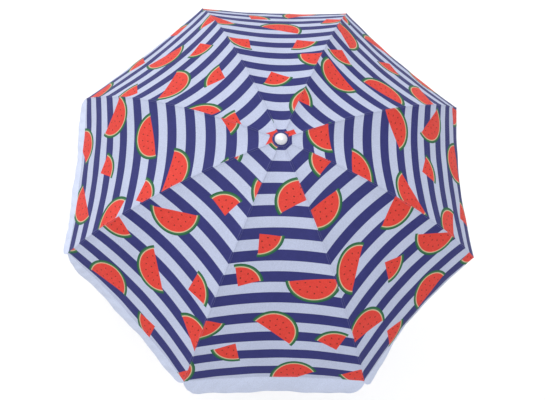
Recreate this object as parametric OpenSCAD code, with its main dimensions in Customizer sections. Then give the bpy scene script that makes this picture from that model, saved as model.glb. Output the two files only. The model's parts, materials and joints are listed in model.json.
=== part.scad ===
// Beach umbrella: eight curved spring-steel ribs carried by a sliding runner, a gored canopy
// with a hanging valance, a push-button tilt joint and a two-piece height-adjustable pole.
// Origin: centre of the lower pole's bottom end. +Z runs up the pole.

/* [Canopy] */
// Length of a rib seam from the centre of the canopy to its corner
seam_length = 900; // [700:10:1100]
// Angle through which a rib turns between the centre and the corner
rib_turn = 46.5; // [35:0.5:55]
// Height of the top of the canopy above the pole's bottom end
apex_height = 1930; // [1900:5:2100]
// Thickness of the canopy cloth
cloth = 1.2; // [1:0.1:2]
// How far the hem is drawn in towards the centre between two ribs
hem_rise = 29; // [10:1:40]
// Height of the valance that hangs from the hem, measured along its cloth
valance_height = 120; // [80:5:160]
// How far the valance leans out from vertical where it leaves the hem
flare_top = 40; // [20:5:45]

/* [Frame] */
// Diameter of the rib and stretcher wire
wire_d = 4; // [3:0.5:5]
// Distance from the outside of the cloth to the middle of a rib
rib_depth = 6.5; // [6.5:0.5:9]
// Distance along the seam from the centre to the stretcher clip
clip_at = 390; // [340:10:450]
// Distance from the crown's wire down to the runner's wire when open
open_drop = 270; // [240:5:300]

/* [Pole] */
// Outer diameter of the lower pole
lower_d = 25; // [24.8:0.1:28]
// Length of the lower pole
lower_length = 650; // [600:10:700]
// Outer diameter of the upper tubes
mast_d = 22; // [20:0.5:22]
// Height of the tilt pivot
tilt_height = 1040; // [1030:5:1045]
// Length of the middle tube inside the lower pole
overlap = 200; // [150:10:250]
// Diameter of the domed cap on top
finial_d = 41; // [35:1:45]

/* [Hidden] */
$fn = 48;
RIBS = 8;
half_step = 180 / RIBS;
seam_radius = seam_length / (rib_turn * PI / 180);

// Hinge circle shared by the crown and the runner.
hinge_r = 15;
ring_wire_d = 2;
ring_hole_d = 2.2;
ring_seat = 0.05;
eye_d = 7.2;
eye_w = 3.6;
slot_w = 4.6;
hinge_drop = rib_depth + 0.1;
hinge_z = apex_height - hinge_drop;
hub_d = 40;
hub_h = 9;
hub_sleeve_h = 40;
stud_d = 6;
stud_h = 14;

// A point on the seam line, given by its distance from the centre along the cloth
// and its depth below the outside of the cloth: [radius, height].
function seam_angle(along) = rib_turn * along / seam_length;
function seam_point(along, depth = 0) =
    let (a = seam_angle(along), r = seam_radius - depth)
    [r * sin(a), apex_height - seam_radius + r * cos(a)];

// Ribs: where the wire starts, where its tip is pushed on, and the tip's sewing eye.
rib_from = 18;
tip_at = seam_length - 10;
tip_d = 7;
tip_ball_d = 8;
tip_eye_d = 1.8;
tip_back = 8;
tip_eye_ahead = 11;
tip_grip = 7;
rib_to = tip_at + tip_grip;

// Linkage, worked out in a rib's own plane.
clip_pin_drop = 8;
pin_d = ring_wire_d + 0.4;
pin_depth = rib_depth + clip_pin_drop;
pin_point = seam_point(clip_at, pin_depth);
pin_out = pin_point[0] - hinge_r;
pin_down = hinge_z - pin_point[1];
stretcher_rise = open_drop - pin_down;
stretcher_length = sqrt(pin_out * pin_out + stretcher_rise * stretcher_rise);
stretcher_angle = atan2(stretcher_rise, pin_out);
runner_z = hinge_z - open_drop;

// Pole.
tube_wall = 0.9;
slide_gap = 0.08;
press_gap = 0.02;
mast_r = mast_d / 2;
lower_bore_r = mast_r + slide_gap;
mid_bottom = lower_length - overlap;
mast_top = hinge_z - 6;
sleeve_r = 14;
insert_depth = 300;
groove_w = 3;
groove_depth = 0.3;
spike_length = 70;

// Tilt knuckle: a tongue between two ears, each cast with a sleeve for its tube.
knuckle_r = 13.5;
knuckle_gap = 0.3;
knuckle_sleeve_from = 30;
knuckle_sleeve_to = 75;
shoulder_drop = 12.5;
tongue_w = 10;
tongue_d = 20;
tongue_root = 1.5;
ear_d = 22;
pivot_pin_d = 6;
pivot_gap = 0.12;
pivot_head_d = 10;
pivot_head_h = 1.8;
slot_top = 11;

// Push buttons, both facing +X.
button_d = 9;
button_gap = 0.16;
button_drop = 21;
button_reach = 3.5;
button_from = 4;
button_bore_from = -8;
runner_h = 56;
runner_button_drop = 30;
runner_button_from = mast_r + 4.2;
runner_button_to = sleeve_r + 8.5;

// Clamp collar and its knob, which faces -X.
collar_r = 18.5;
collar_h = 42;
collar_skirt_h = 14;
collar_waist = 3;
collar_lap = 4;
collar_step = 8;
collar_top = lower_length + collar_step;
knob_z = collar_top - 18;
knob_d = 38;
knob_h = 15;
knob_neck_d = 18;
knob_neck_h = 6;
knob_lobes = 6;
knob_dent_d = 16;
knob_dent_out = 4;
knob_roof = 1;
screw_d = 8;
screw_gap = 0.1;
boss_d = 20;
boss_reach = 27;
knob_from = boss_reach + 0.6;

// ---- helpers ----

// Turns children from the plane of azimuth 0 to the plane of one rib.
module at_rib(i) {
    rotate([0, 0, half_step + i * 360 / RIBS]) children();
}

// Points +Z of its children out of the collar, along -X, at the knob's height.
module towards_knob() {
    translate([0, 0, knob_z]) rotate([0, -90, 0]) children();
}

module tube(r, wall, from_z, to_z) {
    translate([0, 0, from_z]) difference() {
        cylinder(r = r, h = to_z - from_z);
        translate([0, 0, -1]) cylinder(r = r - wall, h = to_z - from_z + 2);
    }
}

module ring(r, wire_r, z) {
    translate([0, 0, z]) rotate_extrude($fn = 96) translate([r, 0]) circle(r = wire_r, $fn = 24);
}

// A short cylinder across a rib's plane, centred on that plane.
module cross_pin(d, w) {
    rotate([90, 0, 0]) cylinder(d = d, h = w, center = true);
}

// A helical spring of round wire, drawn along +Z from its lower end's middle.
module coil(r, wire_r, length, turns) {
    sides = 8;
    per_turn = 16;
    rings = turns * per_turn;
    points = [for (k = [0 : rings]) let (a = k * 360 / per_turn, z = length * k / rings)
        for (s = [0 : sides - 1]) let (b = s * 360 / sides, out = r + wire_r * cos(b))
            [out * cos(a), out * sin(a), z + wire_r * sin(b)]];
    walls = [for (k = [0 : rings - 1], s = [0 : sides - 1])
        let (a = k * sides + s, b = k * sides + (s + 1) % sides)
        each [[a, b, b + sides], [a, b + sides, a + sides]]];
    polyhedron(points = points, faces = concat(walls, [[for (s = [sides - 1 : -1 : 0]) s],
        [for (s = [0 : sides - 1]) rings * sides + s]]));
}

// A closed sheet: rows of points on its outer side and the matching rows on its inner side.
module sheet_solid(outer, inner) {
    rows = len(outer);
    cols = len(outer[0]);
    count = rows * cols;
    points = concat([for (row = outer) each row], [for (row = inner) each row]);
    outer_faces = [for (i = [0 : rows - 2], j = [0 : cols - 2])
        each [[i * cols + j, (i + 1) * cols + j, (i + 1) * cols + j + 1],
              [i * cols + j, (i + 1) * cols + j + 1, i * cols + j + 1]]];
    inner_faces = [for (f = outer_faces) [f[2] + count, f[1] + count, f[0] + count]];
    edge = concat([for (j = [0 : cols - 2]) j],
        [for (i = [0 : rows - 2]) i * cols + cols - 1],
        [for (j = [cols - 1 : -1 : 1]) (rows - 1) * cols + j],
        [for (i = [rows - 1 : -1 : 1]) i * cols]);
    wall_faces = [for (k = [0 : len(edge) - 1])
        let (a = edge[k], b = edge[(k + 1) % len(edge)])
        each [[a, b, b + count], [a, b + count, a + count]]];
    polyhedron(points = points, faces = concat(outer_faces, inner_faces, wall_faces));
}

// ---- pole ----

module foot_spike() {
    plug_r = lower_bore_r - 0.2;
    plug_h = 40;
    shoulder_r = lower_d / 2 - 0.3;
    shoulder_h = 22;
    point_r = 3;
    bevel = 2;
    color("dimgray") rotate_extrude() polygon([[0, -spike_length],
        [point_r, bevel - spike_length], [shoulder_r, -shoulder_h], [shoulder_r, 0],
        [plug_r, 0], [plug_r, plug_h - bevel], [plug_r - bevel, plug_h], [0, plug_h]]);
}

// Tube with a shallow ring groove that marks how deep it goes into the sand or a stand.
module lower_pole() {
    color("white") difference() {
        cylinder(d = lower_d, h = lower_length);
        translate([0, 0, -1]) cylinder(r = lower_bore_r, h = lower_length + 2);
        towards_knob() cylinder(d = screw_d + 0.4, h = lower_d);
        translate([0, 0, insert_depth]) difference() {
            cylinder(d = lower_d + 2, h = groove_w);
            translate([0, 0, -1]) cylinder(d = lower_d - 2 * groove_depth, h = groove_w + 2);
        }
    }
}

module clamp_collar() {
    bottom = collar_top - collar_h;
    head_h = collar_h - collar_skirt_h + collar_lap;
    color("white") difference() {
        union() {
            translate([0, 0, bottom]) cylinder(r = collar_r - collar_waist, h = collar_skirt_h);
            translate([0, 0, collar_top - head_h]) cylinder(r = collar_r, h = head_h);
            towards_knob() cylinder(d = boss_d, h = boss_reach);
        }
        translate([0, 0, bottom - 1])
            cylinder(r = lower_d / 2 + press_gap, h = collar_h - collar_step + 1);
        translate([0, 0, bottom]) cylinder(r = lower_bore_r, h = collar_h + 1);
        towards_knob() cylinder(d = screw_d + screw_gap, h = boss_reach + 1);
    }
}

module lock_knob() {
    color("white") towards_knob() translate([0, 0, knob_from]) difference() {
        union() {
            cylinder(d = knob_neck_d, h = knob_neck_h);
            translate([0, 0, knob_neck_h - 1]) difference() {
                cylinder(d = knob_d, h = knob_h);
                for (k = [0 : knob_lobes - 1]) rotate([0, 0, k * 360 / knob_lobes])
                    translate([knob_d / 2 + knob_dent_out, 0, -1])
                        cylinder(d = knob_dent_d, h = knob_h + 2);
            }
        }
        translate([0, 0, -1])
            cylinder(d = screw_d + 2 * press_gap, h = knob_h - knob_roof + 1);
    }
}

module lock_screw() {
    tip = mast_r + 0.3;
    head = knob_from + knob_h - knob_roof - 0.1;
    color("silver") towards_knob() translate([0, 0, tip]) cylinder(d = screw_d, h = head - tip);
}

module mid_pole() {
    color("white") tube(mast_r, tube_wall, mid_bottom, tilt_height - knuckle_sleeve_from);
}

// ---- tilt joint ----

module tilt_socket() {
    color("white") difference() {
        union() {
            translate([0, 0, tilt_height - knuckle_sleeve_to])
                cylinder(r = knuckle_r, h = knuckle_sleeve_to - shoulder_drop);
            translate([-tongue_d / 2, -tongue_w / 2, tilt_height - shoulder_drop - tongue_root])
                cube([tongue_d, tongue_w, shoulder_drop + tongue_root]);
            translate([0, 0, tilt_height]) cross_pin(tongue_d, tongue_w);
        }
        translate([0, 0, tilt_height - knuckle_sleeve_to - 1])
            cylinder(r = mast_r + press_gap, h = knuckle_sleeve_to - knuckle_sleeve_from + 1);
        translate([0, 0, tilt_height]) cross_pin(pivot_pin_d + pivot_gap, 2 * tongue_w);
        translate([button_bore_from, 0, tilt_height - button_drop]) rotate([0, 90, 0])
            cylinder(d = button_d, h = 3 * knuckle_r);
    }
}

module tilt_head() {
    wide = 3 * knuckle_r;
    slot = tongue_w + 2 * knuckle_gap;
    color("white") difference() {
        intersection() {
            translate([0, 0, tilt_height - ear_d / 2 - 1])
                cylinder(r = knuckle_r, h = knuckle_sleeve_to + ear_d / 2 + 1);
            union() {
                translate([-knuckle_r, -knuckle_r, tilt_height])
                    cube([2 * knuckle_r, 2 * knuckle_r, knuckle_sleeve_to]);
                translate([0, 0, tilt_height]) cross_pin(ear_d, wide);
            }
        }
        translate([-wide / 2, -slot / 2, tilt_height - ear_d])
            cube([wide, slot, ear_d + slot_top]);
        translate([0, 0, tilt_height]) cross_pin(ear_d + 1, slot);
        translate([0, 0, tilt_height]) cross_pin(pivot_pin_d + 2 * press_gap, wide);
        translate([0, 0, tilt_height + knuckle_sleeve_from])
            cylinder(r = mast_r + press_gap, h = knuckle_sleeve_to);
    }
}

module tilt_pivot_pin() {
    color("silver") translate([0, 0, tilt_height]) {
        cross_pin(pivot_pin_d, 2 * knuckle_r);
        for (side = [-1, 1]) translate([0, side * (knuckle_r + pivot_head_h / 2), 0])
            cross_pin(pivot_head_d, pivot_head_h);
    }
}

module tilt_button() {
    rim = 1;
    face = knuckle_r + button_reach - button_from - rim;
    color("gray") translate([button_from, 0, tilt_height - button_drop]) rotate([0, 90, 0]) {
        cylinder(d = button_d - button_gap, h = face);
        translate([0, 0, face]) cylinder(d = button_d - 1.5 * rim, h = rim);
    }
}

module tilt_button_spring() {
    wire_r = 0.5;
    length = 5.6;
    end_gap = 0.1;
    turns = 4;
    color("silver") translate([button_from - wire_r - end_gap - length, 0,
        tilt_height - button_drop]) rotate([0, 90, 0]) coil(3, wire_r, length, turns);
}

// ---- mast, crown and top ----

module upper_mast() {
    color("white") tube(mast_r, tube_wall, tilt_height + knuckle_sleeve_from, mast_top);
}

// Slots for eight wires, open outwards and downwards, cut from a hub.
module hub_slots(from_r, from_z, to_z) {
    for (i = [0 : RIBS - 1]) at_rib(i)
        translate([from_r, -slot_w / 2, from_z]) cube([hub_d, slot_w, to_z - from_z]);
}

module crown_hub() {
    color("white") difference() {
        union() {
            translate([0, 0, hinge_z - hub_h / 2]) cylinder(d = hub_d, h = hub_h);
            translate([0, 0, hinge_z - hub_sleeve_h]) cylinder(r = sleeve_r, h = hub_sleeve_h);
            translate([0, 0, hinge_z]) cylinder(d = stud_d, h = hinge_drop + stud_h);
        }
        translate([0, 0, hinge_z - hub_sleeve_h - 1])
            cylinder(r = mast_r + press_gap, h = mast_top - hinge_z + hub_sleeve_h + 1);
        hub_slots(hinge_r - eye_d / 2 - 0.4, hinge_z - hub_h / 2 - 0.6, hinge_z + hub_h);
        ring(hinge_r, ring_wire_d / 2 + ring_seat, hinge_z);
    }
}

module crown_ring_wire() {
    color("silver") ring(hinge_r, ring_wire_d / 2, hinge_z);
}

module canopy_top_patch() {
    color("navy") translate([0, 0, apex_height + patch_gap]) difference() {
        cylinder(r = patch_r, h = cloth);
        translate([0, 0, -1]) cylinder(d = stud_d + 0.4, h = cloth + 2);
    }
}

module finial() {
    base_z = apex_height + patch_gap + cloth + 0.1;
    cap_r = finial_d / 2;
    rim_h = 3;
    dome_h = 14;
    dome_r = (cap_r * cap_r + dome_h * dome_h) / (2 * dome_h);
    color("white") translate([0, 0, base_z]) difference() {
        union() {
            cylinder(r = cap_r, h = rim_h);
            intersection() {
                translate([0, 0, rim_h + dome_h - dome_r]) sphere(r = dome_r, $fn = 64);
                translate([0, 0, rim_h]) cylinder(r = cap_r + 1, h = dome_h + 1);
            }
        }
        translate([0, 0, -1]) cylinder(d = stud_d + 2 * press_gap, h = stud_h);
    }
}

// ---- runner ----

module runner() {
    bottom = runner_z + hub_h / 2 - runner_h;
    flange = 2.5;
    boss_wall = 2;
    color("white") difference() {
        union() {
            translate([0, 0, runner_z - hub_h / 2]) cylinder(d = hub_d, h = hub_h);
            translate([0, 0, bottom]) cylinder(r = sleeve_r, h = runner_h - 1);
            translate([0, 0, bottom]) cylinder(r = sleeve_r + flange, h = 2 * flange);
            translate([0, 0, runner_z - runner_button_drop]) rotate([0, 90, 0])
                cylinder(d = button_d + 2 * boss_wall, h = sleeve_r + 5);
        }
        translate([0, 0, bottom - 1]) cylinder(r = mast_r + slide_gap, h = runner_h + 2);
        hub_slots(hinge_r - eye_d / 2 + 1, runner_z - hub_h / 2 - 0.6, runner_z + hub_h);
        ring(hinge_r, ring_wire_d / 2 + ring_seat, runner_z);
        translate([mast_r + 1, 0, runner_z - runner_button_drop]) rotate([0, 90, 0])
            cylinder(d = button_d, h = 20);
    }
}

module runner_ring_wire() {
    color("silver") ring(hinge_r, ring_wire_d / 2, runner_z);
}

module runner_button() {
    color("gray") translate([runner_button_from, 0, runner_z - runner_button_drop])
        rotate([0, 90, 0])
            cylinder(d = button_d - button_gap, h = runner_button_to - runner_button_from);
}

// ---- ribs ----

module rib(i) {
    start = seam_angle(rib_from);
    rib_end = seam_angle(rib_to);
    at_rib(i) color("silver") {
        difference() {
            union() {
                translate([hinge_r, 0, hinge_z]) cross_pin(eye_d, eye_w);
                translate([0, 0, apex_height - seam_radius]) rotate([90, 0, 0])
                    rotate([0, 0, 90 - rib_end])
                        rotate_extrude(angle = rib_end - start, $fn = 720)
                            translate([seam_radius - rib_depth, 0]) circle(d = wire_d, $fn = 24);
            }
            translate([hinge_r, 0, hinge_z]) cross_pin(ring_hole_d, eye_w + 2);
        }
        rib_clip();
    }
}

// Bracket pressed onto the rib that carries a stretcher: a saddle, two ears and a pin.
module rib_clip() {
    ear_t = 1.2;
    gap = eye_w + 0.4;
    length = 18;
    below = 12;
    height = 15;
    turn = seam_angle(clip_at);
    middle = seam_point(clip_at, rib_depth);
    translate([middle[0], 0, middle[1]]) rotate([0, turn, 0]) {
        difference() {
            translate([-length / 2, -gap / 2 - ear_t, -below])
                cube([length, gap + 2 * ear_t, height]);
            translate([-length / 2 - 1, -gap / 2, -below - 2])
                cube([length + 2, gap, below + 0.6]);
        }
        translate([0, 0, -clip_pin_drop]) cross_pin(pin_d, gap + 2 * ear_t + 1.6);
    }
}

// Ball-ended cap on a rib, with a cross eye that the corner of the cloth is sewn through.
module rib_tip(i) {
    middle = seam_point(tip_at, rib_depth);
    at_rib(i) color("white") translate([middle[0], 0, middle[1]])
        rotate([0, 90 + seam_angle(tip_at), 0]) difference() {
            union() {
                translate([0, 0, -tip_back]) cylinder(d = tip_d, h = tip_back + tip_eye_ahead);
                translate([0, 0, tip_eye_ahead]) sphere(d = tip_ball_d);
            }
            translate([0, 0, -tip_back - 1])
                cylinder(d = wire_d + 0.1, h = tip_back + tip_grip + 1.5);
            translate([0, 0, tip_eye_ahead]) cross_pin(tip_eye_d, tip_ball_d + 2);
        }
}

// Straight strut from the clip's pin to just short of the runner's wire.
module stretcher(i) {
    open_gap = 5.6;
    wire_len = stretcher_length - open_gap;
    at_rib(i) color("silver") translate([pin_point[0], 0, pin_point[1]])
        rotate([0, -90 - stretcher_angle, 0]) difference() {
            union() {
                cross_pin(eye_d, eye_w);
                cylinder(d = wire_d, h = wire_len);
                translate([0, 0, wire_len]) cross_pin(eye_d, eye_w);
            }
            cross_pin(pin_d + 0.16, eye_w + 2);
        }
}

// ---- cloth ----

canopy_from = 24;
canopy_rows = 14;
canopy_cols = 6;
patch_r = 28;
patch_gap = 0.3;
sag_depth = 47;
sag_fade = 0.85;
// The printed cloth runs past the rib's corner, and further halfway between two ribs.
hem_past_rib = 4;
hem_past_middle = 20;
// Half the space left between neighbouring sheets along the middle of a gore.
seam_gap = 0.2;
hem_gap = 2;
// Valance: how far it still leans out at its lower edge, and the notch over each rib.
flare_bottom = 14;
notch_half = 0.2;
notch_top = 0.1;
valance_rows = 4;
valance_across = [-1, -0.8, -0.6, -0.4, -notch_half, -notch_half / 2, 0,
    notch_half / 2, notch_half, 0.4, 0.6, 0.8, 1];

// How far the cloth is drawn in along the slope, halfway between two ribs.
function draw_in(u) = hem_rise * u * (1 + u) / 2;
// How far the cloth sags below the straight line between two ribs.
function sag(u) = sag_depth * u * (1 - sag_fade * u);
// 0 on a rib and 1 halfway between two ribs.
function bow(across) = 1 - pow(1 - abs(across), 2);
// Where the hem is, measured along the cloth.
function hem_along(across) =
    seam_length + hem_past_rib + (hem_past_middle - hem_past_rib) * bow(across);

// Radius and height of the cloth where it crosses the plane of a rib or, bowed, a gore.
function canopy_profile(along, across, depth) =
    let (
        u = along / seam_length,
        a = seam_angle(along),
        on_seam = seam_point(along, depth),
        r = on_seam[0] - bow(across) * (sag(u) * sin(a) + draw_in(u) * cos(a)),
        z = on_seam[1] - bow(across) * (sag(u) * cos(a) - draw_in(u) * sin(a))
    )
    [r, z];

// Places a radius and height across from one gore's middle (-1) over the rib (0) to the next
// gore's middle (1), straight between two ribs.
function across_gore(profile, across) =
    let (
        from_axis = profile[0] * cos(half_step),
        chord = (profile[0] * sin(half_step) - seam_gap) * (1 - abs(across)) + seam_gap,
        x = from_axis * cos(half_step) + chord * sin(half_step),
        y = from_axis * sin(half_step) - chord * cos(half_step)
    )
    [x, across < 0 ? -y : y, profile[1]];

function canopy_rows_at(depth) = [for (i = [0 : canopy_rows])
    [for (j = [-canopy_cols : canopy_cols])
        let (
            across = j / canopy_cols,
            along = canopy_from + (hem_along(across) - canopy_from) * i / canopy_rows
        )
        across_gore(canopy_profile(along, across, depth), across)]];

module canopy(i) {
    color("lavender") at_rib(i) sheet_solid(canopy_rows_at(0), canopy_rows_at(cloth));
}

// How far out and down the valance has gone after a share t of its height. It leaves the hem
// along the canopy's slope and curves towards vertical.
function flare(t) =
    let (
        bend = (flare_top - flare_bottom) * PI / 180,
        angle = flare_top - (flare_top - flare_bottom) * t
    )
    [(cos(angle) - cos(flare_top)) / bend, (sin(flare_top) - sin(angle)) / bend]
        * valance_height;

// How much of its height the valance has, less over a rib.
function valance_reach(across) =
    min(1, notch_top + (1 - notch_top) * abs(across) / notch_half);

function valance_rows_at(inset) = [for (i = [0 : valance_rows])
    [for (across = valance_across)
        let (
            hem = canopy_profile(hem_along(across), across, 0),
            gone = flare(valance_reach(across) * i / valance_rows),
            r = hem[0] + (gone[0] - inset) / cos(half_step)
        )
        across_gore([r, hem[1] - hem_gap - gone[1]], across)]];

module valance(i) {
    color("white") at_rib(i) sheet_solid(valance_rows_at(0), valance_rows_at(cloth));
}

foot_spike();
lower_pole();
clamp_collar();
lock_knob();
lock_screw();
mid_pole();
tilt_socket();
tilt_head();
tilt_pivot_pin();
tilt_button();
tilt_button_spring();
upper_mast();
crown_hub();
crown_ring_wire();
canopy_top_patch();
finial();
runner();
runner_ring_wire();
runner_button();
for (i = [0 : RIBS - 1]) {
    rib(i);
    rib_tip(i);
    stretcher(i);
    canopy(i);
    valance(i);
}
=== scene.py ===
"""Beach umbrella: looks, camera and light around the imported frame. Metres, the frame's own axes."""
import json
import math

import bpy
import numpy as np
from mathutils import Matrix, Vector


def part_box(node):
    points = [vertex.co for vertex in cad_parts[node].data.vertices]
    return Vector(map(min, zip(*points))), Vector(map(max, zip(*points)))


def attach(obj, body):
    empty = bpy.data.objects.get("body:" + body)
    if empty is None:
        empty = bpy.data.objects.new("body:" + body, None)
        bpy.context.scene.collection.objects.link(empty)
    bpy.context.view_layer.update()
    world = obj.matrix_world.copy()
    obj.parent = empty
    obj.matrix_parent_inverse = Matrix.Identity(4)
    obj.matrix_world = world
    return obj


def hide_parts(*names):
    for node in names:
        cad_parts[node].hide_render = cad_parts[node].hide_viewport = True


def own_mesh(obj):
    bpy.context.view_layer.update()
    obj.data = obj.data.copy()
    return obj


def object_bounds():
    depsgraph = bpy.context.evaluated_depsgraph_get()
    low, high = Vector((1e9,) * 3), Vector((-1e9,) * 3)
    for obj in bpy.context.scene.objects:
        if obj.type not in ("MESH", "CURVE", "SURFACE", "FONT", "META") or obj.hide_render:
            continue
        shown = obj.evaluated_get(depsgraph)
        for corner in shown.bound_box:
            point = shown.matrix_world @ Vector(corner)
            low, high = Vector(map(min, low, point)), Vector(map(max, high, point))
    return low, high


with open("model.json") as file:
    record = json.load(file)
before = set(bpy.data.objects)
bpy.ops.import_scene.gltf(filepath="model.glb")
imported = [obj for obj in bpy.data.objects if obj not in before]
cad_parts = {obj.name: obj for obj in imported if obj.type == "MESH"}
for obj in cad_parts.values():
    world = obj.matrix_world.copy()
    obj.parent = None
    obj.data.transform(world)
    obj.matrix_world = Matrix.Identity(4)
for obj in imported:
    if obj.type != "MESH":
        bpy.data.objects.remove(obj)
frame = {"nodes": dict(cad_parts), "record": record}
CAD_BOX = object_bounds()

# ---- dimensions, the same driving values as the CAD source, in metres ----
RIBS = 8
HALF_STEP = math.pi / RIBS
SEAM = 0.900
TURN = math.radians(46.5)
PATCH_GAP = 0.0003
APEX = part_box("canopy_top_patch")[0].z - PATCH_GAP
SEAM_RADIUS = SEAM / TURN
HEM_RISE = 0.029
CLOTH_FROM = 0.024
SAG = 0.047
SAG_FADE = 0.85
HEM_PAST_RIB = 0.004
HEM_PAST_MIDDLE = 0.020
VALANCE = 0.120
FLARE_TOP = math.radians(40)
FLARE_BOTTOM = math.radians(14)
NOTCH_HALF = 0.20
NOTCH_TOP = 0.10
# For each gore, how much of the valance's lean it takes at its middle, as a light breeze leaves
# it, and how much more it takes towards its higher rib.
VALANCE_LEAN = [(0.45, 0.0), (0.65, 0.0), (0.80, 0.0), (1.05, 0.0),
                (0.66, 0.0), (1.00, 0.0), (0.10, -0.9), (0.35, 0.0)]
# How far the hem of each gore curls down halfway between its ribs, and from where on.
HEM_CURL = [0.006, 0.003, 0.0, 0.0, 0.002, 0.002, 0.012, 0.012]
CURL_FROM = 0.880
CLOTH = 0.0007
# The valance's top edge: how far off the canopy's outer face, then how far in and down.
VALANCE_LIFT = 0.0012
VALANCE_TUCK = 0.001

# Top patch: its radius, the radius of its hole, how far its middle stands over the apex, and how
# much lower its edge is.
PATCH_R = 0.028
PATCH_HOLE_R = 0.0035
PATCH_LIFT = 0.0014
PATCH_DROP = 0.0006

# Mesh density: length of a row of canopy, columns each side of a rib, rows down the valance, and
# how the columns crowd to the rib.
ROW = 0.006
CANOPY_COLUMNS = 24
VALANCE_COLUMNS = 44
VALANCE_ROWS = 28
CROWDING = 1.6

# Printed cloth: one repeat of the print, which every gore is cut from.
STRIPES = 23
STRIPE = SEAM / STRIPES
REPEAT_W = 0.653
REPEAT_H = 18 * STRIPE
# A gore cut head to tail starts this many stripes along the print, and runs back.
TAIL_FROM = 35

# The slices in one repeat: centre (across, along) in millimetres, the way the rind faces in
# degrees (0 is across to the right, 90 is towards the hem), and whether it is a half round.
SLICES = [
    (88, 172, -100, True), (595, 254, 100, True), (128, 444, 58, True),
    (555, 527, -124, True), (211, 661, 130, True), (448, 40, -65, True),
    (328, 147, 126, False), (262, 331, -129, False), (409, 353, 67, False),
    (335, 620, -56, False), (511, 131, 64, False), (647, 602, 69, False),
]
HALF_R = 88
WEDGE_R = 83
RIND = 9.5
CREAM = 3.5
# Rough outline of a slice, for finding the nearest: its middle's distance from its centre and
# its reach, as shares of its radius, and its depth as a share of its width.
HALF_OUTLINE = (0.42, 0.90, 0.55)
WEDGE_OUTLINE = (0.55, 0.60, 1.0)
# A wedge is cut this far each side of its middle, in degrees.
WEDGE_HALF = 42.5
# Seeds lie on two arcs: share of the slice's radius, degrees between seeds, and offset.
SEED_ROWS = [(0.60, 26, 0.0), (0.32, 44, 0.5)]
# A seed's half width and half length.
SEED_HALF_W = 1.9
SEED_HALF_L = 3.1

# How each gore lies on the print: sideways offset in millimetres, and whether it is cut
# head to tail. Gore k is between ribs k and k + 1.
GORE_CUT = [(-9, True), (-214, True), (-196, False), (33, True),
            (214, False), (196, True), (0, False), (36, False)]

# Lengths of cloth that gather together as the umbrella closes, in stripes from the centre,
# with the share of its width that each keeps.
GATHERS = [("inner", 0, 6, 0.50), ("middle", 6, 14, 0.36), ("outer", 14, 23, 0.21)]


# ---- shader helpers ----
class Graph:
    """Builds one material's nodes; each method returns an output socket."""

    def __init__(self, name):
        self.material = bpy.data.materials.new(name)
        self.material.use_nodes = True
        self.tree = self.material.node_tree
        self.shader = self.tree.nodes["Principled BSDF"]

    def put(self, socket, value):
        if isinstance(value, bpy.types.NodeSocket):
            self.tree.links.new(value, socket)
        else:
            socket.default_value = value

    def math(self, kind, a, b=0.0, c=0.0, clamp=False):
        node = self.tree.nodes.new("ShaderNodeMath")
        node.operation = kind
        node.use_clamp = clamp
        for socket, value in zip(node.inputs, (a, b, c)):
            self.put(socket, value)
        return node.outputs[0]

    def attribute(self, name):
        node = self.tree.nodes.new("ShaderNodeAttribute")
        node.attribute_name = name
        split = self.tree.nodes.new("ShaderNodeSeparateXYZ")
        self.put(split.inputs[0], node.outputs["Vector"])
        return split.outputs

    def mix(self, share, a, b):
        node = self.tree.nodes.new("ShaderNodeMix")
        node.data_type = "RGBA"
        self.put(node.inputs[0], share)
        for socket, value in ((node.inputs[6], a), (node.inputs[7], b)):
            self.put(socket, value if isinstance(value, bpy.types.NodeSocket) else (*value, 1))
        return node.outputs[2]

    def join(self, x, y):
        node = self.tree.nodes.new("ShaderNodeCombineXYZ")
        self.put(node.inputs[0], x)
        self.put(node.inputs[1], y)
        return node.outputs[0]

    def scale(self, colour, factor):
        node = self.tree.nodes.new("ShaderNodeVectorMath")
        node.operation = "SCALE"
        self.put(node.inputs[0], colour)
        self.put(node.inputs["Scale"], factor)
        return node.outputs[0]

    def noise(self, scale, detail=3.0, where=None, roughness=0.5):
        node = self.tree.nodes.new("ShaderNodeTexNoise")
        node.inputs["Scale"].default_value = scale
        node.inputs["Detail"].default_value = detail
        node.inputs["Roughness"].default_value = roughness
        if where is None:
            where = self.tree.nodes.new("ShaderNodeTexCoord").outputs["Object"]
        self.put(node.inputs["Vector"], where)
        return node.outputs["Fac"]

    def above(self, value, edge, soft):
        """0 where value is below edge, 1 where it is above, over a width of soft."""
        return self.math("MULTIPLY_ADD", value, 1 / soft, 0.5 - edge / soft, clamp=True)

    def below(self, value, edge, soft):
        return self.math("SUBTRACT", 1.0, self.above(value, edge, soft))

    def both(self, *masks):
        out = masks[0]
        for mask in masks[1:]:
            out = self.math("MULTIPLY", out, mask)
        return out

    def spread(self, value, low, high):
        """Turns 0..1 into low..high."""
        return self.math("MULTIPLY_ADD", value, high - low, low)

    def bump(self, height, distance, strength=1.0):
        node = self.tree.nodes.new("ShaderNodeBump")
        node.inputs["Distance"].default_value = distance
        node.inputs["Strength"].default_value = strength
        self.put(node.inputs["Height"], height)
        self.put(self.shader.inputs["Normal"], node.outputs[0])

    def set(self, **values):
        for name, value in values.items():
            self.put(self.shader.inputs[name.replace("_", " ")], value)


# ---- cloth materials ----
NAVY = (0.030, 0.032, 0.146)
WHITE = (0.490, 0.535, 0.700)
VALANCE_WHITE = (0.630, 0.690, 0.880)
FLESH = (0.760, 0.068, 0.050)
FLESH_DEEP = (0.660, 0.045, 0.034)
CREAM_COLOUR = (0.62, 0.48, 0.30)
RIND_LIGHT = (0.044, 0.165, 0.072)
RIND_DARK = (0.016, 0.105, 0.040)
SEED = (0.150, 0.020, 0.014)
THREAD = (0.28, 0.31, 0.48)
WASHED_OUT = (0.66, 0.70, 0.82)
WEAVE_PITCH = 1.1
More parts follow.
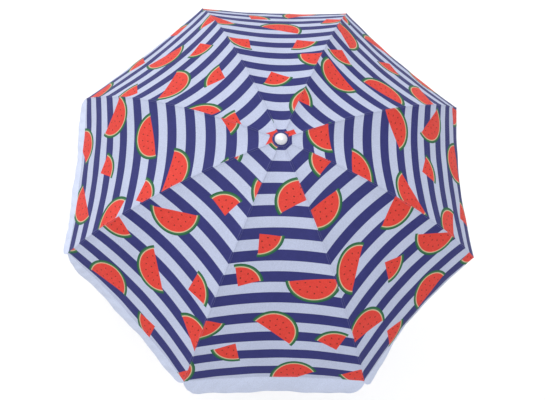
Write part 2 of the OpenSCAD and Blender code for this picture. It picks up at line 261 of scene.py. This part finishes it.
# Topstitching: how far it runs from a seam, from a hem and from the valance's top edge.
SEAM_STITCH = 3.4
HEM_STITCH = 9.0
TOP_STITCH = 5.0


def weave(g, x, y):
    """Height of a plain weave, from cloth coordinates in millimetres."""
    across = g.math("SINE", g.math("MULTIPLY", x, 2 * math.pi / WEAVE_PITCH))
    along = g.math("SINE", g.math("MULTIPLY", y, 2 * math.pi / WEAVE_PITCH))
    return g.math("MULTIPLY", across, along)


def seed_row(g, angle, r, at, step, offset):
    """Mask of one row of seeds on an arc round the middle of a slice."""
    turn = g.math("ADD", g.math("DIVIDE", angle, step), offset)
    nearest = g.math("ROUND", turn)
    aside = g.math("MULTIPLY", g.math("MULTIPLY", g.math("SUBTRACT", turn, nearest), step), at)
    wobble = g.math("MULTIPLY", g.math("SINE", g.math("MULTIPLY", nearest, 2.3)), 3.5)
    out = g.math("SUBTRACT", g.math("SUBTRACT", r, at), wobble)
    wide = g.math("POWER", g.math("DIVIDE", aside, SEED_HALF_W), 2)
    long = g.math("POWER", g.math("DIVIDE", out, SEED_HALF_L), 2)
    return g.above(g.math("SUBTRACT", 1.0, g.math("ADD", wide, long)), 0.0, 0.4)


def print_colour(g, y):
    """Stripes with fruit slices over them; y is millimetres along the print."""
    phase = g.math("FRACT", g.math("DIVIDE", y, 2000 * STRIPE))
    white = g.math("SUBTRACT", g.above(phase, 0.5, 0.012), g.above(phase, 0.994, 0.012))
    navy = g.mix(g.noise(45, 2), NAVY, tuple(1.25 * c for c in NAVY))
    colour = g.mix(white, navy, WHITE)

    u, v, half = g.attribute("slice")
    r = g.math("SQRT", g.math("ADD", g.math("POWER", u, 2), g.math("POWER", v, 2)))
    angle = g.math("ARCTAN2", u, v)
    corner = math.radians(WEDGE_HALF)
    wedge_edge = g.math("SUBTRACT", g.math("MULTIPLY", v, math.sin(corner)),
                        g.math("MULTIPLY", g.math("ABSOLUTE", u), math.cos(corner)))
    cut = g.math("ADD", g.math("MULTIPLY", v, half),
                 g.math("MULTIPLY", wedge_edge, g.math("SUBTRACT", 1.0, half)))
    inset = g.math("SUBTRACT", g.spread(half, WEDGE_R, HALF_R), r)
    rind = g.both(g.above(inset, 0.0, 1.0), g.above(cut, -3.5, 1.0),
                  g.below(inset, RIND + 1.0, 1.0))
    rind_inner = g.above(inset, 4.0, 4.0)
    cream = g.both(g.above(inset, RIND, 1.4), g.above(cut, -1.0, 1.0),
                   g.below(inset, RIND + CREAM + 1.0, 1.0))
    flesh = g.both(g.above(inset, RIND + CREAM, 1.2), g.above(cut, 0.0, 1.0))
    rows = [seed_row(g, angle, r, share * HALF_R, math.radians(step), offset)
            for share, step, offset in SEED_ROWS]
    seeds = g.both(g.math("MAXIMUM", *rows), g.above(cut, 6.0, 1.0))
    flesh_colour = g.mix(g.noise(70, 3), FLESH, FLESH_DEEP)
    flesh_colour = g.mix(seeds, flesh_colour, SEED)
    colour = g.mix(rind, colour, g.mix(rind_inner, RIND_DARK, RIND_LIGHT))
    colour = g.mix(cream, colour, CREAM_COLOUR)
    return g.mix(flesh, colour, flesh_colour)


def stitches(g, distance, along):
    """Mask of a dashed topstitch: 3 mm stitches every 4 mm, on a line 0.9 mm wide."""
    dash = g.above(g.math("PINGPONG", along, 2.0), 0.5, 0.5)
    line = g.above(g.math("SUBTRACT", 0.45, g.math("ABSOLUTE", distance)), 0.0, 0.25)
    return g.both(dash, line)


def cloth_material(name, printed, fade):
    """Polyester cloth. printed adds the print, and fade is how far it is washed out, as on the
    back of the cloth. Without the print it is the valance's plain cloth."""
    g = Graph(name)
    x, y, seam = g.attribute("cloth")
    hem = g.attribute("edge")[0]
    colour = print_colour(g, y) if printed else VALANCE_WHITE
    if fade:
        colour = g.mix(fade, colour, WASHED_OUT)
    grain = g.noise(300, 2)
    worn = g.noise(9, 3)
    slub = g.noise(1.0, 2, where=g.join(g.math("MULTIPLY", x, 0.9), g.math("MULTIPLY", y, 0.06)))
    light = g.math("ADD", g.spread(grain, 0.80, 1.20), g.spread(slub, -0.10, 0.10))
    light = g.math("ADD", light, g.spread(worn, -0.07, 0.07))
    colour = g.scale(colour, light)
    thread = g.math("MAXIMUM", stitches(g, g.math("SUBTRACT", seam, SEAM_STITCH), y),
                    stitches(g, g.math("SUBTRACT", hem, HEM_STITCH), x))
    if not printed:
        from_top = g.math("SUBTRACT", g.attribute("edge")[1], TOP_STITCH)
        thread = g.math("MAXIMUM", thread, stitches(g, from_top, x))
    colour = g.mix(g.math("MULTIPLY", thread, 0.45), colour, THREAD)
    height = g.math("ADD", g.math("MULTIPLY", weave(g, x, y), 0.22), grain)
    height = g.math("ADD", height, g.math("MULTIPLY", thread, 1.2))
    g.put(g.shader.inputs["Base Color"], colour)
    g.put(g.shader.inputs["Roughness"], g.spread(grain, 0.48, 0.72))
    g.set(Sheen_Weight=0.03, Sheen_Roughness=0.4, Specular_IOR_Level=0.16)
    g.bump(height, 0.0004, 0.7)
    return g.material


# ---- hard materials ----
def speckled(name, base, worn, rough, bump_scale, bump_height, metallic=0.0, coat=0.0):
    """Moulded or coated surface: fine grain, broad tone variation and rubbed patches."""
    g = Graph(name)
    broad = g.noise(14, 4)
    rubbed = g.above(g.noise(38, 5, roughness=0.65), 0.66, 0.12)
    fine = g.noise(bump_scale, 3)
    shade = g.mix(g.spread(broad, 0.0, 0.5), base, tuple(0.86 * c for c in base))
    g.put(g.shader.inputs["Base Color"], g.mix(g.math("MULTIPLY", rubbed, 0.5), shade, worn))
    g.put(g.shader.inputs["Roughness"],
          g.math("ADD", g.spread(fine, rough - 0.06, rough + 0.08),
                 g.math("MULTIPLY", rubbed, 0.12)))
    g.set(Metallic=metallic, Coat_Weight=coat, Coat_Roughness=0.12)
    g.bump(fine, bump_height, 0.5)
    return g.material


def wire_material(name):
    """Bright zinc-plated wire with fine drawing marks."""
    g = Graph(name)
    marks = g.noise(900, 2)
    stain = g.noise(22, 4)
    g.put(g.shader.inputs["Base Color"],
          g.mix(g.spread(stain, -0.2, 0.9), (0.66, 0.67, 0.68), (0.40, 0.41, 0.43)))
    g.put(g.shader.inputs["Roughness"], g.spread(marks, 0.22, 0.42))
    g.set(Metallic=1.0)
    g.bump(marks, 0.00015, 0.5)
    return g.material


PRINTED = cloth_material("printed_cloth", True, 0)
PRINTED_BACK = cloth_material("printed_cloth_back", True, 0.45)
PLAIN = cloth_material("valance_cloth", False, 0)
PLASTIC = speckled("white_plastic", (0.80, 0.80, 0.82), (0.60, 0.60, 0.60), 0.42, 700, 0.0002)
CAP = speckled("cap_plastic", (0.84, 0.85, 0.89), (0.70, 0.71, 0.74), 0.20, 300, 0.00005, coat=0.6)
GREY = speckled("grey_plastic", (0.10, 0.105, 0.115), (0.22, 0.22, 0.22), 0.5, 700, 0.0002)
PAINT = speckled("white_paint", (0.80, 0.80, 0.80), (0.52, 0.52, 0.50), 0.34, 420, 0.00015,
                 coat=0.3)
WIRE = wire_material("zinc_wire")

BY_SLOT = {"white_plastic": PLASTIC, "cap_plastic": CAP, "grey_plastic": GREY,
           "white_paint": PAINT, "steel": WIRE}
for row in frame["record"]["subparts"]:
    if row["material_slot"] in BY_SLOT:
        mesh = frame["nodes"][row["node"]].data
        mesh.materials.clear()
        mesh.materials.append(BY_SLOT[row["material_slot"]])


# ---- canopy surface ----
def rib_azimuth(k):
    return HALF_STEP + k * 2 * HALF_STEP


def turned(points, azimuth):
    c, s = math.cos(azimuth), math.sin(azimuth)
    return points @ np.array([[c, s, 0], [-s, c, 0], [0, 0, 1]])


def half_width(along):
    """Half a gore's width at a distance along its seam."""
    return SEAM_RADIUS * np.sin(TURN * along / SEAM) * math.sin(HALF_STEP)


def gore_of(k, across):
    """Number of the gore on that side of rib k."""
    return np.where(across < 0, (k - 1) % RIBS, k)


def gore_lateral(along, across):
    """Sideways place in the gore: positive towards its higher rib."""
    return np.where(across < 0, 1, -1) * (1 - np.abs(across)) * half_width(along)


def bow(across):
    """0 on a rib and 1 halfway between two ribs."""
    return 1 - (1 - np.abs(across)) ** 2


def hem_along(across):
    """Where the hem is, along the cloth."""
    return SEAM + HEM_PAST_RIB + (HEM_PAST_MIDDLE - HEM_PAST_RIB) * bow(across)


def ripples(k, along, across):
    """Small relief of the stretched cloth, the same from both sides of a gore's middle."""
    gore = gore_of(k, across)
    side = gore_lateral(along, across)
    free = 1 - (1 - np.abs(across)) ** 4
    from_seam = np.abs(across) * half_width(along)
    slack = np.clip(along / SEAM, 0, 1) ** 2
    broad = (0.0011 * np.sin(side * 21 + gore * 1.7) * np.sin(along * 13 + gore * 2.1)
             + 0.0006 * np.sin(side * 47 - along * 31 + gore * 0.9))
    pucker = (0.00055 * np.sin(along * 290 + 1.3 * np.sin(along * 37 + k) + 3 * k)
              * np.exp(-((from_seam - 0.012) / 0.011) ** 2))
    ridge = 0.0013 * np.exp(-(from_seam / 0.005) ** 2)
    hem_fold = 0.0007 * np.clip((along - hem_along(across) + 0.013) / 0.0015, 0, 1)
    return free * slack * broad + pucker + ridge + hem_fold


def curl(k, along, across):
    """How far the cloth is bent down near the hem."""
    near_hem = np.clip((along - CURL_FROM) / (SEAM + HEM_PAST_MIDDLE - CURL_FROM), 0, 1)
    return np.array(HEM_CURL)[gore_of(k, across)] * near_hem ** 1.6 * bow(across)


def canopy_profile(along, across, raised):
    """Radius and height of the cloth where it crosses the plane of a rib or, bowed, a gore."""
    u = along / SEAM
    a = TURN * u
    draw_in = HEM_RISE * u * (1 + u) / 2
    sag = SAG * u * (1 - SAG_FADE * u)
    r = SEAM_RADIUS * np.sin(a) - bow(across) * (sag * np.sin(a) + draw_in * np.cos(a))
    z = -SEAM_RADIUS * (1 - np.cos(a)) - bow(across) * (sag * np.cos(a) - draw_in * np.sin(a))
    return r + raised * np.sin(a), APEX + z + raised * np.cos(a)


def across_gore(k, r, z, across):
    """Points round rib k, from the middle of one gore (-1) over the rib (0) to the middle of
    the next (1), straight between two ribs."""
    middle = r * math.cos(HALF_STEP)
    chord = r * math.sin(HALF_STEP) * (1 - np.abs(across))
    x = middle * math.cos(HALF_STEP) + chord * math.sin(HALF_STEP)
    y = middle * math.sin(HALF_STEP) - chord * math.cos(HALF_STEP)
    return turned(np.stack([x, np.where(across < 0, -1, 1) * y, z], -1), rib_azimuth(k))


def canopy_points(k, along, across):
    """Points of the cloth's outer side."""
    raised = ripples(k, along, across) - curl(k, along, across)
    return across_gore(k, *canopy_profile(along, across, raised), across)


def print_place(along, side, gore):
    """Where a point of a gore lies on the printed roll, in millimetres."""
    offset = np.array([cut[0] for cut in GORE_CUT])[gore]
    tail = np.array([cut[1] for cut in GORE_CUT])[gore]
    x = np.where(tail, offset - side * 1000, offset + side * 1000)
    y = np.where(tail, TAIL_FROM * STRIPE * 1000 - along * 1000, along * 1000)
    return x, y


def nearest_slice(x, y, face_x, face_y):
    """For each corner, its place in the frame of the slice nearest to its face."""
    tile_w, tile_h = REPEAT_W * 1000, REPEAT_H * 1000
    best = np.full(face_x.shape, 1e9)
    out = np.zeros(x.shape + (3,))
    for cx, cy, facing, half in SLICES:
        n = np.array([math.cos(math.radians(facing)), math.sin(math.radians(facing))])
        radius = HALF_R if half else WEDGE_R
        middle, reach, flat = HALF_OUTLINE if half else WEDGE_OUTLINE
        mx, my = cx + middle * radius * n[0], cy + middle * radius * n[1]
        whole_x = np.round((face_x - mx) / tile_w) * tile_w
        whole_y = np.round((face_y - my) / tile_h) * tile_h
        off_x, off_y = face_x - mx - whole_x, face_y - my - whole_y
        deep = (off_x * n[0] + off_y * n[1]) / flat
        distance = np.hypot(off_x * n[1] - off_y * n[0], deep) - reach * radius
        closer = distance < best
        best = np.where(closer, distance, best)
        px = x - (whole_x + cx)[..., None]
        py = y - (whole_y + cy)[..., None]
        local = np.stack([px * n[1] - py * n[0], px * n[0] + py * n[1],
                          np.full(x.shape, float(half))], -1)
        out = np.where(closer[..., None, None], local, out)
    return out


# ---- mesh building ----
def grid_mesh(name, points, corner_data, materials):
    """A quad grid as an object. corner_data is {attribute: array over faces and 4 corners}."""
    rows, cols = points.shape[:2]
    i, j = np.meshgrid(np.arange(rows - 1), np.arange(cols - 1), indexing="ij")
    first = (i * cols + j).ravel()
    faces = np.stack([first, first + cols, first + cols + 1, first + 1], -1)
    mesh = bpy.data.meshes.new(name)
    mesh.from_pydata(points.reshape(-1, 3).tolist(), [], faces.tolist())
    for key, values in corner_data.items():
        layer = mesh.attributes.new(key, "FLOAT_VECTOR", "CORNER")
        layer.data.foreach_set("vector", values.reshape(-1).astype(np.float32))
    mesh.polygons.foreach_set("use_smooth", [True] * len(faces))
    for material in materials:
        mesh.materials.append(material)
    used = np.zeros(len(mesh.edges), int)
    edge_of_corner = np.zeros(len(mesh.loops), int)
    mesh.loops.foreach_get("edge_index", edge_of_corner)
    np.add.at(used, edge_of_corner, 1)
    mesh.edges.foreach_set("use_edge_sharp", (used == 1).tolist())
    obj = bpy.data.objects.new(name, mesh)
    bpy.context.scene.collection.objects.link(obj)
    return obj


def corners(values):
    """Values at grid points, as values at each face's four corners."""
    return np.stack([values[:-1, :-1], values[1:, :-1], values[1:, 1:], values[:-1, 1:]], -1)


def thicken(obj, thickness, inner_slot=0):
    """Gives cloth its thickness, inwards, with the second material on the inside."""
    solid = obj.modifiers.new("thickness", "SOLIDIFY")
    solid.thickness = thickness
    solid.offset = -1
    solid.material_offset = inner_slot
    solid.material_offset_rim = 0


def across_steps(count):
    """Places across a section, closer together at the rib than at the gores' middles."""
    side = (np.arange(1, count + 1) / count) ** CROWDING
    return np.concatenate([-side[::-1], [0.0], side])


def canopy_section(k, label, first, last, keep):
    """The cloth between the middles of two gores, from one stripe to another."""
    start, end = max(first * STRIPE, CLOTH_FROM), last * STRIPE
    rows = round((end - start) / ROW)
    step, across = np.meshgrid(np.linspace(0, 1, rows + 1), across_steps(CANOPY_COLUMNS),
                               indexing="ij")
    finish = hem_along(across) if last == STRIPES else end
    along = start + (finish - start) * step
    points = canopy_points(k, along, across)
    # A face belongs to one gore, so the corner on the rib takes that gore's values.
    inner_side = np.sign(corners(across).mean(-1))[..., None] * np.maximum(
        np.abs(corners(across)), 1e-9)
    face_along = corners(along)
    gore = gore_of(k, inner_side)
    side = gore_lateral(face_along, inner_side)
    x, y = print_place(face_along, side, gore)
    slices = nearest_slice(x, y, x.mean(-1), y.mean(-1))
    from_seam = np.abs(inner_side) * half_width(face_along) * 1000
    to_hem = (hem_along(inner_side) - face_along) * 1000
    piece = grid_mesh(f"canopy_cloth_{k}_{label}", points, {
        "slice": slices,
        "cloth": np.stack([x, y, from_seam], -1),
        "edge": np.stack([to_hem, to_hem, to_hem], -1),
    }, [PRINTED, PRINTED_BACK])
    thicken(piece, CLOTH, 1)
    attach(piece, f"rib_arm_{k}")
    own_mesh(piece)
    return piece


def flare(t):
    """How far out and down the valance has gone after a share t of its height."""
    bend = FLARE_TOP - FLARE_BOTTOM
    angle = FLARE_TOP - bend * t
    out = (np.cos(angle) - math.cos(FLARE_TOP)) * VALANCE / bend
    down = (math.sin(FLARE_TOP) - np.sin(angle)) * VALANCE / bend
    return out, down


def valance_section(k, way, label):
    """Plain cloth that hangs from the hem on one side of a rib, notched over the rib, with soft
    flutes that grow towards its lower edge. way is -1 or 1."""
    steps = across_steps(VALANCE_COLUMNS)
    t, across = np.meshgrid(np.linspace(0, 1, VALANCE_ROWS + 1), steps[steps * way >= 0],
                            indexing="ij")
    near = np.clip(np.abs(across) / NOTCH_HALF, 0, 1)
    reach = NOTCH_TOP + (1 - NOTCH_TOP) * (1 - (1 - near) ** 1.5)
    gone = t * reach
    hem_at = hem_along(across)
    r, z = canopy_profile(hem_at, across, VALANCE_LIFT - curl(k, hem_at, across))
    gore = gore_of(k, across)
    side = gore_lateral(np.full(across.shape, SEAM), across)
    out, down = flare(gone)
    lean, skew = np.array(VALANCE_LEAN)[gore].transpose(2, 0, 1)
    out = out * (lean + skew * side / half_width(SEAM))
    flutes = (0.0024 * np.sin(side * 27 + gore * 2.0 + gone * 0.8)
              + 0.0009 * np.sin(side * 71 + gore * 1.1 + gone * 1.5))
    creases = 0.0020 * np.sin(side * 128 + 2.2 * np.sin(side * 19 + gore) + gone * 6)
    hem = 0.0008 * np.clip((t - 0.91) / 0.012, 0, 1)
    pushed = (flutes * gone ** 1.2 + creases * np.sin(math.pi * gone)) * near + hem
    angle = FLARE_TOP - (FLARE_TOP - FLARE_BOTTOM) * gone
    ragged = 0.0016 * np.sin(side * 15 + gore * 1.9) * gone
    r = r + (out + pushed * np.cos(angle) - VALANCE_TUCK) / math.cos(HALF_STEP)
    z = z - VALANCE_TUCK - down + pushed * np.sin(angle) + ragged
    points = across_gore(k, r, z, across)
    x = corners(side) * 1000
    y = corners(gone) * VALANCE * 1000
    bottom = corners((1 - t) * reach) * VALANCE * 1000
    far_from_seam = np.full(x.shape, 100.0)
    piece = grid_mesh(f"valance_cloth_{k}_{label}", points, {
        "cloth": np.stack([x, y, far_from_seam], -1),
        "edge": np.stack([bottom, y, bottom], -1),
    }, [PLAIN])
    thicken(piece, CLOTH)
    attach(piece, f"flap_{k}")
    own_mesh(piece)
    if way > 0:
        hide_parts(f"valance_{k}")


for k in range(RIBS):
    sections = [canopy_section(k, *gather) for gather in GATHERS]
    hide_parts(f"canopy_{k}")
    valance_section(k, -1, "before")
    valance_section(k, 1, "after")


def top_patch():
    """Round of printed cloth clamped under the cap."""
    rings, around = np.meshgrid(np.linspace(PATCH_HOLE_R, PATCH_R, 9),
                                np.linspace(0, 2 * math.pi, 97), indexing="ij")
    z = APEX + PATCH_LIFT - PATCH_DROP * (rings / PATCH_R) ** 2
    points = np.stack([rings * np.cos(around), rings * np.sin(around), z], -1)
    r = corners(rings) * 1000
    arc = corners(around) * 20
    to_edge = PATCH_R * 1000 - r
    no_slice = np.broadcast_to([500.0, 500.0, 1.0], r.shape + (3,))
    piece = grid_mesh("canopy_patch_cloth", points, {
        "slice": no_slice, "cloth": np.stack([arc, r, to_edge + 2], -1),
        "edge": np.stack([to_edge] * 3, -1)}, [PRINTED, PRINTED_BACK])
    thicken(piece, CLOTH, 1)
    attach(piece, "mast")
    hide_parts("canopy_top_patch")


top_patch()


# ---- floor, light and camera ----
FLOOR_HALF = 30
FLOOR_DROP = 0.001
FLOOR_DARK = (0.93, 0.93, 0.93)
FLOOR_LIGHT = (0.96, 0.96, 0.96)
# Width of the picture, and the camera's focal length, in pixels.
PICTURE_W = 545
FOCAL = 510.3


def floor():
    """Pale ground under the foot of the pole."""
    g = Graph("pale_floor")
    g.put(g.shader.inputs["Base Color"], g.mix(g.noise(1.5, 2), FLOOR_DARK, FLOOR_LIGHT))
    g.set(Roughness=0.9)
    mesh = bpy.data.meshes.new("floor")
    size, z = FLOOR_HALF, CAD_BOX[0].z - FLOOR_DROP
    mesh.from_pydata([(-size, -size, z), (size, -size, z), (size, size, z), (-size, size, z)],
                     [], [(0, 1, 2, 3)])
    mesh.materials.append(g.material)
    obj = bpy.data.objects.new("floor", mesh)
    bpy.context.scene.collection.objects.link(obj)


def sun(name, towards, strength, spread, colour):
    """A soft light from far away, shining from the direction given."""
    data = bpy.data.lights.new(name, "SUN")
    data.energy = strength
    data.angle = math.radians(spread)
    data.color = colour
    obj = bpy.data.objects.new(name, data)
    obj.rotation_mode = "QUATERNION"
    obj.rotation_quaternion = Vector(towards).to_track_quat("Z", "Y")
    bpy.context.scene.collection.objects.link(obj)


def lights():
    """A very soft key from the picture's upper left, a firmer light from above, and a world that
    lights softly and looks white to the camera."""
    sun("key", (-0.55, 0.55, 0.63), 1.62, 75, (1.0, 0.99, 0.98))
    sun("front", (0.12, -0.08, 0.99), 1.62, 45, (1.0, 1.0, 1.0))
    world = bpy.data.worlds.new("studio")
    world.use_nodes = True
    tree = world.node_tree
    lit = tree.nodes["Background"]
    lit.inputs["Color"].default_value = (0.96, 0.98, 1.0, 1)
    lit.inputs["Strength"].default_value = 0.36
    seen = tree.nodes.new("ShaderNodeBackground")
    seen.inputs["Color"].default_value = (1, 1, 1, 1)
    rays = tree.nodes.new("ShaderNodeLightPath")
    mix = tree.nodes.new("ShaderNodeMixShader")
    tree.links.new(rays.outputs["Is Camera Ray"], mix.inputs[0])
    tree.links.new(lit.outputs[0], mix.inputs[1])
    tree.links.new(seen.outputs[0], mix.inputs[2])
    tree.links.new(mix.outputs[0], tree.nodes["World Output"].inputs["Surface"])
    bpy.context.scene.world = world


def camera():
    """High over the front, turned and rolled a little, as fitted to the photo."""
    azimuth, elevation, roll = (math.radians(a) for a in (-9.6, 72.9, 10.1))
    data = bpy.data.cameras.new("camera")
    data.sensor_width = 36
    data.lens = FOCAL * data.sensor_width / PICTURE_W
    data.dof.use_dof = False
    back = Vector((math.sin(azimuth) * math.cos(elevation),
                   -math.cos(azimuth) * math.cos(elevation), math.sin(elevation)))
    right = Vector((math.cos(azimuth), math.sin(azimuth), 0))
    up = back.cross(right)
    side = right * math.cos(roll) + up * math.sin(roll)
    top = up * math.cos(roll) - right * math.sin(roll)
    obj = bpy.data.objects.new("camera", data)
    place = Vector((-0.104, -0.659, 3.433))
    turn = Matrix((side, top, back)).transposed().to_4x4()
    obj.matrix_world = Matrix.Translation(place) @ turn
    bpy.context.scene.collection.objects.link(obj)
    bpy.context.scene.camera = obj


floor()
lights()
camera()
bpy.context.scene.view_settings.view_transform = "Standard"

bpy.context.view_layer.update()
